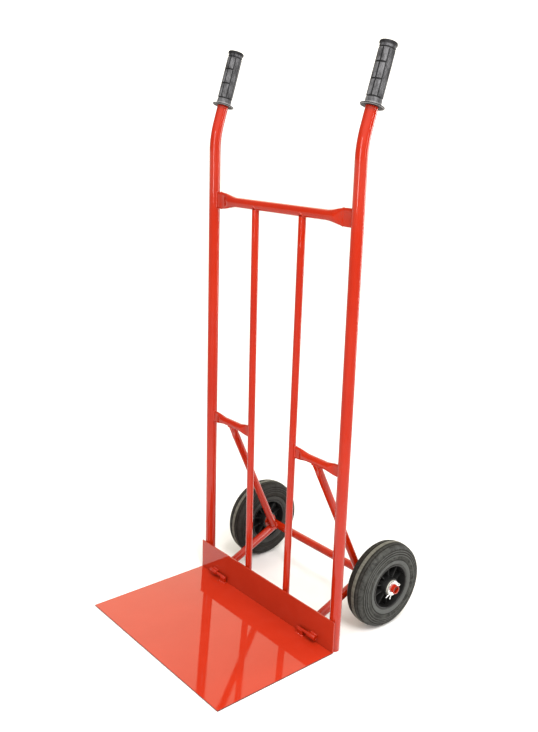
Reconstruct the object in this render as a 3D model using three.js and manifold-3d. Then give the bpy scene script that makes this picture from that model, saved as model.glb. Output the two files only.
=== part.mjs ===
// A steel hand truck with a folding toe plate. Millimetres, +Z up, +X to the right as seen
// from the front, +Y to the rear. Two bent rails stand on the floor; the wheels run on a tube
// axle behind them, and the toe plate lies flat in front of them.

import * as THREE from 'three';
import { mergeVertices } from 'three/addons/utils/BufferGeometryUtils.js';
import Module from 'manifold-3d';

const wasm = await Module();
wasm.setup();

// ---------- driving dimensions ----------

const GAP = 0.3; // between faces that touch on the real object
const FRAME_WIDTH = 480; // over the rails and both plates
const WALL = 2; // of every frame tube

const RAIL_RADIUS = 12.5;
const RAIL_X = FRAME_WIDTH / 2 - RAIL_RADIUS;
const RAIL_Y = 16; // rail axis behind the front face of the back plate
const BEND_HEIGHT = 1070; // where the rail's and the handle's axes cross
const BEND_RADIUS = 205;
const HANDLE_ANGLE = THREE.MathUtils.degToRad(17); // leaning back from the rail
const HANDLE_LENGTH = 187; // from the crossing point to the end of the tube

const GRIP_LENGTH = 121;
const GRIP_RADIUS = 16;
const GRIP_FLANGE_RADIUS = 24;
const GRIP_END_WALL = 3;

const TOP_TUBE_RADIUS = 11;
const TOP_TUBE_HEIGHT = 932;
const TOP_TUBE_END = { reach: 75, breadth: 37, thickness: 9 }; // where it is pressed flat
const SMALL_TUBE_RADIUS = 9; // short cross tubes and upper struts
const SHORT_TUBE_HEIGHT = 413;
const SHORT_TUBE_END = { reach: 45, breadth: 27, thickness: 9 };
const INNER_BAR_RADIUS = 8;
const INNER_BAR_Y = 13;
const INNER_BAR_TOP_X = 75;
const INNER_BAR_FOOT_X = 68;
const INNER_BAR_FOOT_Z = 8;
const INNER_BAR_LAP = 7; // its end stops this far below the top tube's axis

const UPPER_STRUT_TOP = { x: 146, y: 13 }; // its axis at the short cross tube's height
const UPPER_STRUT_FOOT = { x: 155, y: 165 }; // at the axle's height, in front of the axle's middle
const UPPER_STRUT_END = { reach: 45, breadth: 22, thickness: 13 };
const UPPER_STRUT_LAP = 5; // it starts this far down its axis
const LOWER_STRUT_RADIUS = 10;
const LOWER_STRUT_FOOT = { x: 157, z: 25 }; // at the front face of the back plate
const LOWER_STRUT_AXLE_X = 161;
const LOWER_STRUT_END = { reach: 45, breadth: 26, thickness: 13 };
const LOWER_STRUT_LAP = 6; // it stops this far short of the axle's middle

const PLATE_THICKNESS = 3;
const TOE_DEPTH = 310;
const BACK_HEIGHT = 76;
const BACK_CLEARANCE = 1; // the back plate stops this far above the floor

// Each hinge is a rod, welded to the toe plate through a lug, that turns in a sleeve on the
// back plate.
const HINGE_Y = -6.5;
const HINGE_Z = 16.5;
const HINGE_STRIP = 25; // of each plate, from its hinge edge, that the hinges may stand over
const HINGE_ROD = { radius: 3.5, inner: 133, outer: 191 };
const HINGE_SLEEVE = { radius: 6, inner: 168, outer: 192 };
const HINGE_LUG = { inner: 135, outer: 152, front: -10, rear: -3 };

const WHEEL_RADIUS = 100;
const WHEEL_X = 215;
const AXLE_Y = 178;
const AXLE_RADIUS = 10;
const AXLE_WALL = 2.5;
const AXLE_HALF_LENGTH = 256;
const TYRE_HALF_WIDTH = 27;
const RIM_RADIUS = 53.7;
const RIM_HALF_WIDTH = 24.5;
const HUB_RADIUS = 21;
const HUB_HALF_LENGTH = 26.7;
const BUSH_RADIUS = 14;
const BUSH_FLANGE_RADIUS = 18.5;
const BUSH_FLANGE = 2;
const BUSH_LENGTH = 21;
const RIB_COUNT = 10;
const WASHER_RADIUS = 17;
const WASHER_THICKNESS = 3;
const PIN_WIRE_RADIUS = 1.05;
const PIN_ANGLE = THREE.MathUtils.degToRad(30); // legs point forward and this far down
const PIN_HOLE_RADIUS = 2.6;
const PIN_EYE_RADIUS = 2.6; // to the middle of the wire
const PIN_LEG_REACHES = [17, 19]; // past the axle's surface
const PIN_LEG_SPREADS = [7.5, 2.5]; // of the legs' ends from the pin's own axis

const BODY_CENTRE_Y = (AXLE_Y + WHEEL_RADIUS - TOE_DEPTH) / 2; // middle of the whole depth

// ---------- materials ----------

const paint = { color: 0xd9301b, roughness: 0.22, metalness: 0.1 };
const blackPlastic = { color: 0x151515, roughness: 0.5, metalness: 0 };
const tyreRubber = { color: 0x4e4f4c, roughness: 0.8, metalness: 0 };
const gripRubber = { color: 0x515052, roughness: 0.75, metalness: 0 };
const zinc = { color: 0xc9ccd0, roughness: 0.3, metalness: 0.9 };
const nylon = { color: 0xd8d5c8, roughness: 0.55, metalness: 0 };

const truck = new THREE.Group();
truck.position.y = -BODY_CENTRE_Y;

function addPart(name, geometry, look) {
  const mesh = new THREE.Mesh(geometry, new THREE.MeshStandardMaterial(look));
  mesh.name = name;
  truck.add(mesh);
  return mesh;
}

// ---------- cutting one shape by others ----------

function toSolid(geometry) {
  const bare = geometry.clone();
  bare.deleteAttribute('normal');
  bare.deleteAttribute('uv');
  const merged = mergeVertices(bare, 1e-4);
  return new wasm.Manifold(new wasm.Mesh({
    numProp: 3,
    vertProperties: new Float32Array(merged.attributes.position.array),
    triVerts: new Uint32Array(merged.index.array),
  }));
}

function toGeometry(solid) {
  const mesh = solid.getMesh();
  const geometry = new THREE.BufferGeometry();
  geometry.setAttribute('position', new THREE.BufferAttribute(mesh.vertProperties, 3));
  geometry.setIndex(new THREE.BufferAttribute(mesh.triVerts, 1));
  return geometry;
}

function cut(geometry, ...cutters) {
  let solid = toSolid(geometry);
  for (const cutter of cutters) {
    solid = solid.subtract(toSolid(cutter));
  }
  return toGeometry(solid);
}

function join(...geometries) {
  let solid = toSolid(geometries[0]);
  for (const other of geometries.slice(1)) {
    solid = solid.add(toSolid(other));
  }
  return toGeometry(solid);
}

// ---------- tubes ----------

// A centre line given as stations: a point and a direction at each place where the tube
// gets a ring of vertices.
class StationLine extends THREE.Curve {
  constructor(points, directions) {
    super();
    this.points = points;
    this.directions = directions;
  }

  getPointAt(u, target = new THREE.Vector3()) {
    return target.copy(this.points[Math.round(u * (this.points.length - 1))]);
  }

  getTangentAt(u, target = new THREE.Vector3()) {
    return target.copy(this.directions[Math.round(u * (this.points.length - 1))]);
  }
}

function ringShape(radius, bore) {
  const shape = new THREE.Shape();
  shape.absarc(0, 0, radius, 0, 2 * Math.PI, false);
  if (bore > 0) {
    const hole = new THREE.Path();
    hole.absarc(0, 0, bore, 0, 2 * Math.PI, true);
    shape.holes.push(hole);
  }
  return shape;
}

function tubeAlong(line, radius, bore, sides = 20) {
  return new THREE.ExtrudeGeometry(ringShape(radius, bore), {
    steps: line.points.length - 1,
    curveSegments: sides / 2, // a full circle gets two sides for each
    extrudePath: line,
  });
}

// A straight tube along +Z from the origin, with rings at the given heights.
function straightTube(heights, radius, bore, sides) {
  const up = new THREE.Vector3(0, 0, 1);
  const points = heights.map((z) => new THREE.Vector3(0, 0, z));
  return tubeAlong(new StationLine(points, heights.map(() => up)), radius, bore, sides);
}

// Heights that are closely spaced in the pressed end and skip the plain stretch.
function pressedHeights(length, pressed, bothEnds) {
  const rings = 4;
  const heights = [];
  for (let i = 0; i <= rings; i += 1) {
    heights.push((pressed.reach * i) / rings);
  }
  if (!bothEnds) {
    return [...heights, length];
  }
  const farEnd = heights.map((z) => length - z).reverse();
  return [...heights, ...farEnd];
}

// Presses the end of a tube on +Z flat. The round section turns into a slot that is
// broad along X and thin along Y; the wall keeps its thickness.
function pressEnd(geometry, endZ, radius, { reach, breadth, thickness }) {
  const position = geometry.attributes.position;
  for (let i = 0; i < position.count; i += 1) {
    const x = position.getX(i);
    const y = position.getY(i);
    const share = 1 - Math.min(Math.abs(position.getZ(i) - endZ) / reach, 1);
    const amount = THREE.MathUtils.smoothstep(share, 0, 0.9);
    const distance = Math.hypot(x, y);
    const inset = radius - distance; // 0 on the outer wall
    const halfX = THREE.MathUtils.lerp(distance, breadth / 2 - inset, amount);
    const halfY = THREE.MathUtils.lerp(distance, thickness / 2 - inset, amount);
    const squareness = 1 - 0.5 * amount;
    const c = x / distance;
    const s = y / distance;
    position.setXY(i, c * halfX, Math.sign(s) * Math.abs(s) ** squareness * halfY);
  }
  return geometry;
}

// Moves a shape made along +Z so that it starts at one point and runs towards another,
// keeping its own X axis as close to the truck's X axis as it can be.
function layAlong(geometry, start, end) {
  const zAxis = new THREE.Vector3().subVectors(end, start).normalize();
  const yAxis = new THREE.Vector3(1, 0, 0).cross(zAxis).negate().normalize();
  const xAxis = new THREE.Vector3().crossVectors(yAxis, zAxis);
  geometry.applyMatrix4(new THREE.Matrix4().makeBasis(xAxis, yAxis, zAxis));
  return geometry.translate(start.x, start.y, start.z);
}

// A plain rod along the truck's X axis, used to shape the ends that fit round a cross tube.
function rodAlongX(radius, y, z, fromX, toX) {
  const rod = new THREE.CylinderGeometry(radius, radius, toX - fromX, 20);
  rod.rotateZ(Math.PI / 2);
  return rod.translate((fromX + toX) / 2, y, z);
}

function rodAlongZ(radius, x, y, fromZ, toZ) {
  const rod = new THREE.CylinderGeometry(radius, radius, toZ - fromZ, 20);
  rod.rotateX(Math.PI / 2);
  return rod.translate(x, y, (fromZ + toZ) / 2);
}

function mirrorX(geometry) {
  const mirrored = geometry.index ? geometry.toNonIndexed() : geometry.clone();
  const position = mirrored.attributes.position;
  for (let i = 0; i < position.count; i += 3) {
    const corners = [0, 2, 1].map((k) => new THREE.Vector3().fromBufferAttribute(position, i + k));
    corners.forEach((corner, k) => position.setXYZ(i + k, -corner.x, corner.y, corner.z));
  }
  return mirrored;
}

// Adds a piece of the right-hand side and its mirror image on the left.
function addPair(name, rightGeometry, look) {
  addPart(`right_${name}`, rightGeometry, look);
  addPart(`left_${name}`, mirrorX(rightGeometry), look);
}

// ---------- rails and grips ----------

const handleDirection = new THREE.Vector3(0, Math.sin(HANDLE_ANGLE), Math.cos(HANDLE_ANGLE));
const bendCorner = new THREE.Vector3(RAIL_X, RAIL_Y, BEND_HEIGHT);

function railLine() {
  const bendSteps = 5;
  const points = [new THREE.Vector3(RAIL_X, RAIL_Y, 0)];
  const directions = [new THREE.Vector3(0, 0, 1)];
  const bendStart = BEND_HEIGHT - BEND_RADIUS * Math.tan(HANDLE_ANGLE / 2);
  for (let i = 0; i <= bendSteps; i += 1) {
    const angle = (HANDLE_ANGLE * i) / bendSteps;
    const y = RAIL_Y + BEND_RADIUS * (1 - Math.cos(angle));
    const z = bendStart + BEND_RADIUS * Math.sin(angle);
    points.push(new THREE.Vector3(RAIL_X, y, z));
    directions.push(new THREE.Vector3(0, Math.sin(angle), Math.cos(angle)));
  }
  points.push(bendCorner.clone().addScaledVector(handleDirection, HANDLE_LENGTH));
  directions.push(handleDirection);
  return new StationLine(points, directions);
}

function gripGeometry() {
  const bore = RAIL_RADIUS + GAP;
  const closedEnd = GRIP_LENGTH - GRIP_END_WALL;
  const profile = [
    [bore, 0],
    [GRIP_FLANGE_RADIUS - 1, 0],
    [GRIP_FLANGE_RADIUS, 1.5],
    [GRIP_FLANGE_RADIUS - 1, 3.5],
    [GRIP_RADIUS + 1, 5],
    [GRIP_RADIUS, 8],
    [GRIP_RADIUS, GRIP_LENGTH - 6],
    [GRIP_RADIUS + 1, GRIP_LENGTH - 4],
    [GRIP_RADIUS + 0.5, GRIP_LENGTH - 1],
    [GRIP_RADIUS - 1.5, GRIP_LENGTH],
    [0, GRIP_LENGTH],
  ];
  const inside = [[0, closedEnd], [bore, closedEnd], [bore, 0]];
  const outline = [...inside, ...profile.slice(1)].map(([r, z]) => new THREE.Vector2(r, z));
  const grip = new THREE.LatheGeometry(outline, 20);
  grip.rotateX(Math.PI / 2); // the lathe turns about Y; this stands it along Z
  const start = bendCorner.clone().addScaledVector(handleDirection, HANDLE_LENGTH + GAP - closedEnd);
  return layAlong(grip, start, start.clone().add(handleDirection));
}

addPair('rail', tubeAlong(railLine(), RAIL_RADIUS, RAIL_RADIUS - WALL), paint);
addPair('handle_grip', gripGeometry(), gripRubber);

// ---------- cross tubes and inner bars ----------

const railCutter = rodAlongZ(RAIL_RADIUS + GAP, RAIL_X, RAIL_Y, 0, BEND_HEIGHT);
const innerBarTop = new THREE.Vector3(INNER_BAR_TOP_X, INNER_BAR_Y, TOP_TUBE_HEIGHT - INNER_BAR_LAP);
const innerBarFoot = new THREE.Vector3(INNER_BAR_FOOT_X, INNER_BAR_Y, INNER_BAR_FOOT_Z);

// A tube along +X whose pressed ends stand upright.
function pressedCrossTube(fromX, toX, z, radius, pressed) {
  const length = toX - fromX;
  const heights = pressedHeights(length, pressed, true);
  const tube = straightTube(heights, radius, radius - WALL, 16);
  pressEnd(tube, 0, radius, pressed);
  pressEnd(tube, length, radius, pressed);
  tube.rotateY(Math.PI / 2);
  return tube.translate(fromX, RAIL_Y, z);
}

function topCrossTube() {
  const tube = pressedCrossTube(-RAIL_X, RAIL_X, TOP_TUBE_HEIGHT, TOP_TUBE_RADIUS, TOP_TUBE_END);
  return cut(tube, railCutter, mirrorX(railCutter));
}

function innerBar() {
  const length = innerBarTop.distanceTo(innerBarFoot);
  const bar = straightTube([0, length], INNER_BAR_RADIUS, INNER_BAR_RADIUS - WALL, 16);
  layAlong(bar, innerBarFoot, innerBarTop);
  const topTube = rodAlongX(TOP_TUBE_RADIUS + GAP, RAIL_Y, TOP_TUBE_HEIGHT, 0, RAIL_X);
  return cut(bar, topTube);
}

function shortCrossTube() {
  const share = (SHORT_TUBE_HEIGHT - INNER_BAR_FOOT_Z) / (innerBarTop.z - INNER_BAR_FOOT_Z);
  const barX = THREE.MathUtils.lerp(INNER_BAR_FOOT_X, INNER_BAR_TOP_X, share);
  const tube = pressedCrossTube(barX, RAIL_X, SHORT_TUBE_HEIGHT, SMALL_TUBE_RADIUS, SHORT_TUBE_END);
  const barLength = innerBarTop.distanceTo(innerBarFoot);
  const bar = new THREE.CylinderGeometry(INNER_BAR_RADIUS + GAP, INNER_BAR_RADIUS + GAP, barLength, 20);
  bar.rotateX(Math.PI / 2);
  bar.translate(0, 0, barLength / 2);
  layAlong(bar, innerBarFoot, innerBarTop);
  return cut(tube, railCutter, bar);
}

addPart('top_cross_tube', topCrossTube(), paint);
addPair('inner_bar', innerBar(), paint);
addPair('short_cross_tube', shortCrossTube(), paint);

// ---------- axle and struts ----------

const hubEndX = WHEEL_X + HUB_HALF_LENGTH + GAP + BUSH_FLANGE;
const washerFaceX = hubEndX + GAP + WASHER_THICKNESS;
const pinX = washerFaceX + GAP + PIN_EYE_RADIUS + PIN_WIRE_RADIUS;
const axleCutter = rodAlongX(AXLE_RADIUS + GAP, AXLE_Y, WHEEL_RADIUS, 0, WHEEL_X);

function axleTube() {
  const tube = straightTube([0, 2 * AXLE_HALF_LENGTH], AXLE_RADIUS, AXLE_RADIUS - AXLE_WALL, 24);
  tube.rotateY(Math.PI / 2);
  tube.translate(-AXLE_HALF_LENGTH, AXLE_Y, WHEEL_RADIUS);
  const hole = new THREE.CylinderGeometry(PIN_HOLE_RADIUS, PIN_HOLE_RADIUS, 4 * AXLE_RADIUS, 16);
  hole.rotateX(PIN_ANGLE);
  hole.translate(pinX, AXLE_Y, WHEEL_RADIUS);
  return cut(tube, hole, mirrorX(hole));
}

// A straight tube between two points. pressed, if given, flattens its first end.
function strutBetween(start, end, radius, bore, pressed) {
  const length = start.distanceTo(end);
  const heights = pressed ? pressedHeights(length, pressed, false) : [0, length];
  const strut = straightTube(heights, radius, bore, 16);
  if (pressed) {
    pressEnd(strut, 0, radius, pressed);
  }
  return layAlong(strut, start, end);
}

// The point that lies a given distance from one point on the way to another.
function pointTowards(from, to, distance) {
  const direction = new THREE.Vector3().subVectors(to, from).normalize();
  return from.clone().addScaledVector(direction, distance);
}

const upperStrutTop = new THREE.Vector3(UPPER_STRUT_TOP.x, UPPER_STRUT_TOP.y, SHORT_TUBE_HEIGHT);
const upperStrutFoot = new THREE.Vector3(UPPER_STRUT_FOOT.x, UPPER_STRUT_FOOT.y, WHEEL_RADIUS);
const lowerStrutFoot = new THREE.Vector3(LOWER_STRUT_FOOT.x, 0, LOWER_STRUT_FOOT.z);
const lowerStrutAtAxle = new THREE.Vector3(LOWER_STRUT_AXLE_X, AXLE_Y, WHEEL_RADIUS);

function upperStrut() {
  const start = pointTowards(upperStrutTop, upperStrutFoot, UPPER_STRUT_LAP);
  const bore = SMALL_TUBE_RADIUS - WALL;
  const strut = strutBetween(start, upperStrutFoot, SMALL_TUBE_RADIUS, bore, UPPER_STRUT_END);
  const shortTube = rodAlongX(SMALL_TUBE_RADIUS + GAP, RAIL_Y, SHORT_TUBE_HEIGHT, 0, RAIL_X);
  return cut(strut, shortTube, axleCutter);
}

function lowerStrut() {
  const end = pointTowards(lowerStrutAtAxle, lowerStrutFoot, LOWER_STRUT_LAP);
  const bore = LOWER_STRUT_RADIUS - WALL;
  const strut = strutBetween(lowerStrutFoot, end, LOWER_STRUT_RADIUS, bore, LOWER_STRUT_END);
  const plate = new THREE.BoxGeometry(FRAME_WIDTH, 30, 2 * BACK_HEIGHT);
  plate.translate(0, PLATE_THICKNESS + GAP - 15, BACK_HEIGHT);
  const upperEnd = pointTowards(upperStrutFoot, upperStrutTop, -GAP);
  const upper = strutBetween(upperStrutTop, upperEnd, SMALL_TUBE_RADIUS + GAP, 0);
  return cut(strut, plate, axleCutter, upper);
}

addPart('axle_tube', axleTube(), paint);
addPair('upper_strut', upperStrut(), paint);
addPair('lower_strut', lowerStrut(), paint);

// ---------- plates and hinges ----------

// A flat plate with its hinge edge at the +Y end. Its faces are split along a line just clear
// of the hinges, so the part that a load rests on is a face with nothing over it.
function hingedPlate(reach) {
  const geometry = new THREE.BoxGeometry(FRAME_WIDTH, reach, PLATE_THICKNESS, 1, 2, 1);
  const position = geometry.attributes.position;
  for (let i = 0; i < position.count; i += 1) {
    if (position.getY(i) === 0) {
      position.setY(i, reach / 2 - HINGE_STRIP);
    }
  }
  return geometry;
}

// A rod or a sleeve on the hinge axis.
function onHingeAxis({ radius, inner, outer }, bore) {
  const turned = straightTube([0, outer - inner], radius, bore, 20);
  turned.rotateY(Math.PI / 2);
  return turned.translate(inner, HINGE_Y, HINGE_Z);
}

function hingeLug() {
  const { inner, outer, front, rear } = HINGE_LUG;
  const foot = PLATE_THICKNESS + GAP;
  const block = new THREE.BoxGeometry(outer - inner, rear - front, HINGE_Z - foot);
  block.translate((inner + outer) / 2, (front + rear) / 2, (HINGE_Z + foot) / 2);
  return cut(block, rodAlongX(HINGE_ROD.radius + GAP, HINGE_Y, HINGE_Z, inner - 1, outer + 1));
}

const backPlate = hingedPlate(BACK_HEIGHT - BACK_CLEARANCE);
backPlate.rotateX(-Math.PI / 2); // stands it up on its hinge edge
backPlate.translate(0, PLATE_THICKNESS / 2, (BACK_HEIGHT + BACK_CLEARANCE) / 2);
const toePlate = hingedPlate(TOE_DEPTH - GAP);
toePlate.translate(0, -(TOE_DEPTH + GAP) / 2, PLATE_THICKNESS / 2);
addPart('back_plate', backPlate, paint);
addPart('toe_plate', toePlate, paint);
addPair('hinge_sleeve', onHingeAxis(HINGE_SLEEVE, HINGE_ROD.radius + GAP), paint);
addPair('hinge_rod', onHingeAxis(HINGE_ROD, 0), paint);
addPair('hinge_lug', hingeLug(), paint);

// ---------- wheels ----------

// Turns an outline of [distance along the axle, radius] about the wheel's own axis.
function turnAboutAxle(outline, sides) {
  const closed = [...outline, outline[0]];
  const points = closed.map(([along, radius]) => new THREE.Vector2(radius, along));
  const turned = new THREE.LatheGeometry(points, sides);
  turned.rotateZ(-Math.PI / 2); // the lathe turns about Y; this lays it along X
  return turned.translate(WHEEL_X, AXLE_Y, WHEEL_RADIUS);
}

function mirroredOutline(half) {
  const other = half.map(([along, radius]) => [-along, radius]).reverse();
  return [...half, ...other];
}

function tyre() {
  const w = TYRE_HALF_WIDTH;
  const seat = RIM_RADIUS + GAP;
  const half = [
    [w - 2.5, seat],
    [w - 1.5, seat + 2],
    [w, seat + 12],
    [w, WHEEL_RADIUS - 17],
    [w - 3, WHEEL_RADIUS - 8],
    [w - 8, WHEEL_RADIUS - 3],
    [w - 16, WHEEL_RADIUS - 0.5],
    [0, WHEEL_RADIUS],
  ];
  const other = half.slice(0, -1).map(([along, radius]) => [-along, radius]).reverse();
  return turnAboutAxle([...half, ...other].reverse(), 36);
}

// A moulded wheel centre: a hub, a thin web and a rim band, with ribs on both sides of the web.
function rim() {
  const web = 3;
  const band = RIM_RADIUS - 4.5;
  const half = [
    [HUB_HALF_LENGTH, BUSH_RADIUS + GAP],
    [HUB_HALF_LENGTH, HUB_RADIUS],
    [web, HUB_RADIUS + 1],
    [web, band - 1],
    [RIM_HALF_WIDTH, band],
    [RIM_HALF_WIDTH, RIM_RADIUS],
  ];
  const centre = turnAboutAxle(mirroredOutline(half).reverse(), 24);
  const ribs = [];
  for (let i = 0; i < RIB_COUNT / 2; i += 1) {
    for (const side of [-1, 1]) {
      const from = HUB_RADIUS - 2;
      const to = band + 2;
      const rib = new THREE.BoxGeometry(2 * (RIM_HALF_WIDTH - 6), 2.5, to - from);
      rib.translate(0, 0, (side * (from + to)) / 2);
      rib.rotateX((2 * Math.PI * i) / RIB_COUNT);
      ribs.push(rib.translate(WHEEL_X, AXLE_Y, WHEEL_RADIUS));
    }
  }
  return join(centre, ...ribs);
}

// Turns an outline drawn for the outer end of the hub (side +1), or its mirror image at
// the inner end (side -1).
function turnAtHubEnd(outline, side) {
  const sided = outline.map(([along, radius]) => [side * along, radius]);
  return turnAboutAxle(side > 0 ? sided.reverse() : sided, 20);
}

function bush(side) {
  const flangeFace = HUB_HALF_LENGTH + GAP;
  const bore = AXLE_RADIUS + GAP;
  const outline = [
    [flangeFace + BUSH_FLANGE - BUSH_LENGTH, bore],
    [flangeFace + BUSH_FLANGE, bore],
    [flangeFace + BUSH_FLANGE, BUSH_FLANGE_RADIUS],
    [flangeFace, BUSH_FLANGE_RADIUS],
    [flangeFace, BUSH_RADIUS],
    [flangeFace + BUSH_FLANGE - BUSH_LENGTH, BUSH_RADIUS],
  ];
  return turnAtHubEnd(outline, side);
}

function washer(side) {
  const near = HUB_HALF_LENGTH + BUSH_FLANGE + 2 * GAP;
  const far = near + WASHER_THICKNESS;
  const bore = AXLE_RADIUS + GAP;
  const outline = [[near, bore], [far, bore], [far, WASHER_RADIUS], [near, WASHER_RADIUS]];
  return turnAtHubEnd(outline, side);
}

// One wire, doubled back on itself: up one leg, round the eye and down the other leg.
// The eye rests on the axle and the ends of the legs are spread.
function splitPin() {
  const offset = PIN_WIRE_RADIUS + 0.1; // half the distance between the two legs' middles
  const neck = AXLE_RADIUS + 1;
  const [rightSpread, leftSpread] = PIN_LEG_SPREADS;
  const [rightEnd, leftEnd] = PIN_LEG_REACHES.map((reach) => -AXLE_RADIUS - reach);
  const spread = [[rightSpread, rightEnd], [3, -AXLE_RADIUS - 8], [offset, -AXLE_RADIUS - 2.5]];
  const legOut = spread.map(([x, z]) => new THREE.Vector3(x, 0, z));
  const eye = [];
  const eyeCentre = neck + PIN_EYE_RADIUS + 1;
  for (let i = 0; i <= 6; i += 1) {
    const angle = THREE.MathUtils.degToRad(-50 + (280 * i) / 6);
    const x = PIN_EYE_RADIUS * Math.cos(angle);
    const z = eyeCentre + PIN_EYE_RADIUS * Math.sin(angle);
    eye.push(new THREE.Vector3(x, 0, z));
  }
  const right = [...legOut, new THREE.Vector3(offset, 0, 0), new THREE.Vector3(offset, 0, neck)];
  const left = right.map((p) => new THREE.Vector3(-p.x, 0, p.z)).reverse();
  left[left.length - 1].set(-leftSpread, 0, leftEnd);
  const wire = new THREE.CatmullRomCurve3([...right, ...eye, ...left], false, 'centripetal');
  const section = ringShape(PIN_WIRE_RADIUS, 0);
  const pin = new THREE.ExtrudeGeometry(section, { steps: 36, curveSegments: 3, extrudePath: wire });
  pin.rotateX(PIN_ANGLE - Math.PI / 2); // legs forward and down
  return pin.translate(pinX, AXLE_Y, WHEEL_RADIUS);
}

addPair('tyre', tyre(), tyreRubber);
addPair('wheel_rim', rim(), blackPlastic);
addPair('wheel_outer_bush', bush(1), nylon);
addPair('wheel_inner_bush', bush(-1), nylon);
addPair('outer_washer', washer(1), zinc);
addPair('inner_washer', washer(-1), paint);
addPair('split_pin', splitPin(), zinc);

export default truck;
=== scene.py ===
"""The looks of a red steel hand truck with a folding toe plate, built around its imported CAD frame.

Metres, +Z up, +X to the right as seen from the front, +Y to the rear. Places come from the CAD
nodes' boxes. MM turns the small sizes that the boxes don't show into metres.
"""

import math

import bpy
import numpy as np
from mathutils import Matrix, Vector


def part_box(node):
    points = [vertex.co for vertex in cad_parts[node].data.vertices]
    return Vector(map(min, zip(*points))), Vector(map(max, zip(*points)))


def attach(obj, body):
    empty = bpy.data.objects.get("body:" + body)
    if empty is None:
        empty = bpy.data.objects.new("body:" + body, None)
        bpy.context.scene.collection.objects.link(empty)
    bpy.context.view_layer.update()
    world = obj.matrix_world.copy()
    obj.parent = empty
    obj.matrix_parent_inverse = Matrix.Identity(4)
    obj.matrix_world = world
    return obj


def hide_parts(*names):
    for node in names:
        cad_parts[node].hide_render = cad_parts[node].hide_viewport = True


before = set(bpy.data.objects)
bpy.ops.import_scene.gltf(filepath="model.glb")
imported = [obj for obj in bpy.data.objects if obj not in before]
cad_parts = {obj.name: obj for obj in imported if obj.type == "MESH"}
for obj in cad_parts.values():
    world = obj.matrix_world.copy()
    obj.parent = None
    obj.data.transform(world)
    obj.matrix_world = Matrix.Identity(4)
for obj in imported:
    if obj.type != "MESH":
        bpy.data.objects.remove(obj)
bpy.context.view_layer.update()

MM = 0.001
SIDES = {"left": -1, "right": 1}
TURN = 2 * math.pi
CRISP = 38  # degrees: edges that turn more than this stay crisp, unless a piece says otherwise


# ---------- places read from the frame ----------


def middle(node):
    low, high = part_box(node)
    return (low + high) / 2


def extent(node):
    low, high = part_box(node)
    return high - low


RAIL_X = middle("right_rail").x
RAIL_RADIUS = extent("right_rail").x / 2
RAIL_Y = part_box("right_rail")[0].y + RAIL_RADIUS
TOP_TUBE_Z = middle("top_cross_tube").z
TOP_TUBE_RADIUS = extent("top_cross_tube").y / 2
SHORT_TUBE_Z = middle("right_short_cross_tube").z
SMALL_TUBE_RADIUS = extent("right_short_cross_tube").y / 2  # the upper struts' too
INNER_BAR_RADIUS = extent("right_inner_bar").y / 2
INNER_BAR_Y = middle("right_inner_bar").y
INNER_BAR_TOP_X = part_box("right_inner_bar")[1].x - INNER_BAR_RADIUS
INNER_BAR_FOOT_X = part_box("right_inner_bar")[0].x + INNER_BAR_RADIUS
INNER_BAR_FOOT_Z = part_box("right_inner_bar")[0].z
AXLE = middle("axle_tube")
AXLE_RADIUS = extent("axle_tube").z / 2
AXLE_HALF_LENGTH = extent("axle_tube").x / 2
PLATE_FRONT_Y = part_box("back_plate")[0].y
PLATE_THICKNESS = extent("back_plate").y
BACK_FOOT_Z, BACK_TOP_Z = (corner.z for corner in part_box("back_plate"))
HINGE = middle("right_hinge_rod")
WHEEL_X = middle("right_tyre").x
WHEEL_RADIUS = extent("right_tyre").z / 2

TUBE_EDGE = 0.4 * MM  # how far a cut tube's edges are rounded
SHEET_EDGE = 0.5 * MM

# The tubes' walls and bends, as the CAD solids have them.
WALL = 2 * MM
AXLE_WALL = 2.5 * MM
BEND_HEIGHT = 1070 * MM
BEND_RADIUS = 205 * MM
HANDLE_ANGLE = math.radians(17)
HANDLE_LENGTH = 187 * MM
UPPER_STRUT_TOP = (146 * MM, RAIL_Y - 3 * MM)  # its axis at the short cross tube's height
UPPER_STRUT_FOOT = (155 * MM, AXLE.y - 13 * MM)  # its axis at the axle's height
LOWER_STRUT_RADIUS = 10 * MM
LOWER_STRUT_FOOT = (157 * MM, PLATE_FRONT_Y, 25 * MM)
LOWER_STRUT_AXLE_X = 161 * MM


# ---------- mesh helpers ----------


def make_mesh(name, vertices, faces, sharp_degrees):
    """A smooth-shaded object whose edges over sharp_degrees stay crisp."""
    mesh = bpy.data.meshes.new(name)
    mesh.from_pydata([tuple(v) for v in vertices], [], faces)
    mesh.validate()
    mesh.shade_smooth()
    mesh.set_sharp_from_angle(angle=math.radians(sharp_degrees))
    return add_object(name, mesh)


def add_object(name, data):
    added = bpy.data.objects.new(name, data)
    bpy.context.scene.collection.objects.link(added)
    return added


def ring_faces(ring_count, side_count, closed):
    """Quads between rings of points. closed joins the last ring to the first."""
    faces = []
    for i in range(ring_count if closed else ring_count - 1):
        for j in range(side_count):
            a = i * side_count + j
            b = i * side_count + (j + 1) % side_count
            c = (i + 1) % ring_count * side_count + (j + 1) % side_count
            d = (i + 1) % ring_count * side_count + j
            faces.append((a, d, c, b))
    return faces


def loft(name, rings, closed, sharp_degrees=CRISP):
    """A solid through rings of points. An open one gets a cap at each end."""
    rings = np.asarray(rings, float)
    ring_count, side_count, _ = rings.shape
    faces = ring_faces(ring_count, side_count, closed)
    vertices = rings.reshape(-1, 3)
    if not closed:
        last = (ring_count - 1) * side_count
        faces.append(tuple(range(side_count)))
        faces.append(tuple(last + j for j in reversed(range(side_count))))
    if enclosed_volume(vertices, faces) < 0:
        faces = [tuple(reversed(face)) for face in faces]
    return make_mesh(name, vertices, faces, sharp_degrees)


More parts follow.
